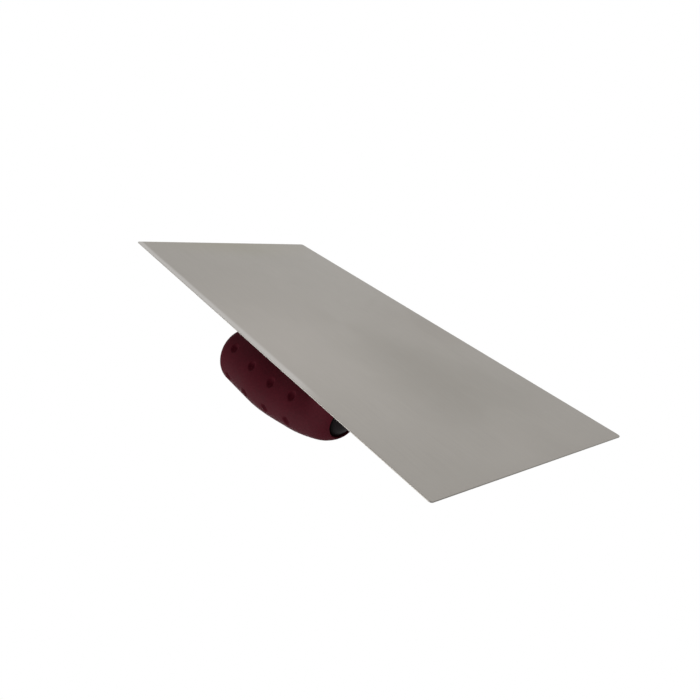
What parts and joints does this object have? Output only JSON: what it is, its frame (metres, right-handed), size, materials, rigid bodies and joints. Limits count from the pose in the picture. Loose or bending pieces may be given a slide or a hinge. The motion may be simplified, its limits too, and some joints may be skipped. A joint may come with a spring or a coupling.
{
  "type": "finishing trowel",
  "caption": "Steel finishing trowel: a thin flat rectangular blade on a cast mounting, with an open, bent handle that has a dimpled soft grip over a hard core.",
  "frame": {"origin": "centre of the blade's flat working face", "axes": "+X along the blade towards its toe, the end that the handle's nose faces; +Y across the blade; +Z away from the working face, towards the grip"},
  "size_m": [0.28, 0.13, 0.0885],
  "materials": {
    "blade_steel": "fine ground, matte",
    "cast_alloy": "as cast, satin",
    "fastener_steel": "zinc plated",
    "core_plastic": "moulded, fine texture",
    "grip_rubber": "moulded, soft touch"
  },
  "bodies": {
    "root": {"blade": "blade_steel", "mounting": "cast_alloy", "mounting_studs": "fastener_steel", "core_left": "core_plastic", "core_right": "core_plastic", "grip_sleeve": "grip_rubber", "handle_screw": "fastener_steel", "screw_washer": "fastener_steel", "captive_nut": "fastener_steel", "screw_plug": "grip_rubber"}
  },
  "joints": []
}
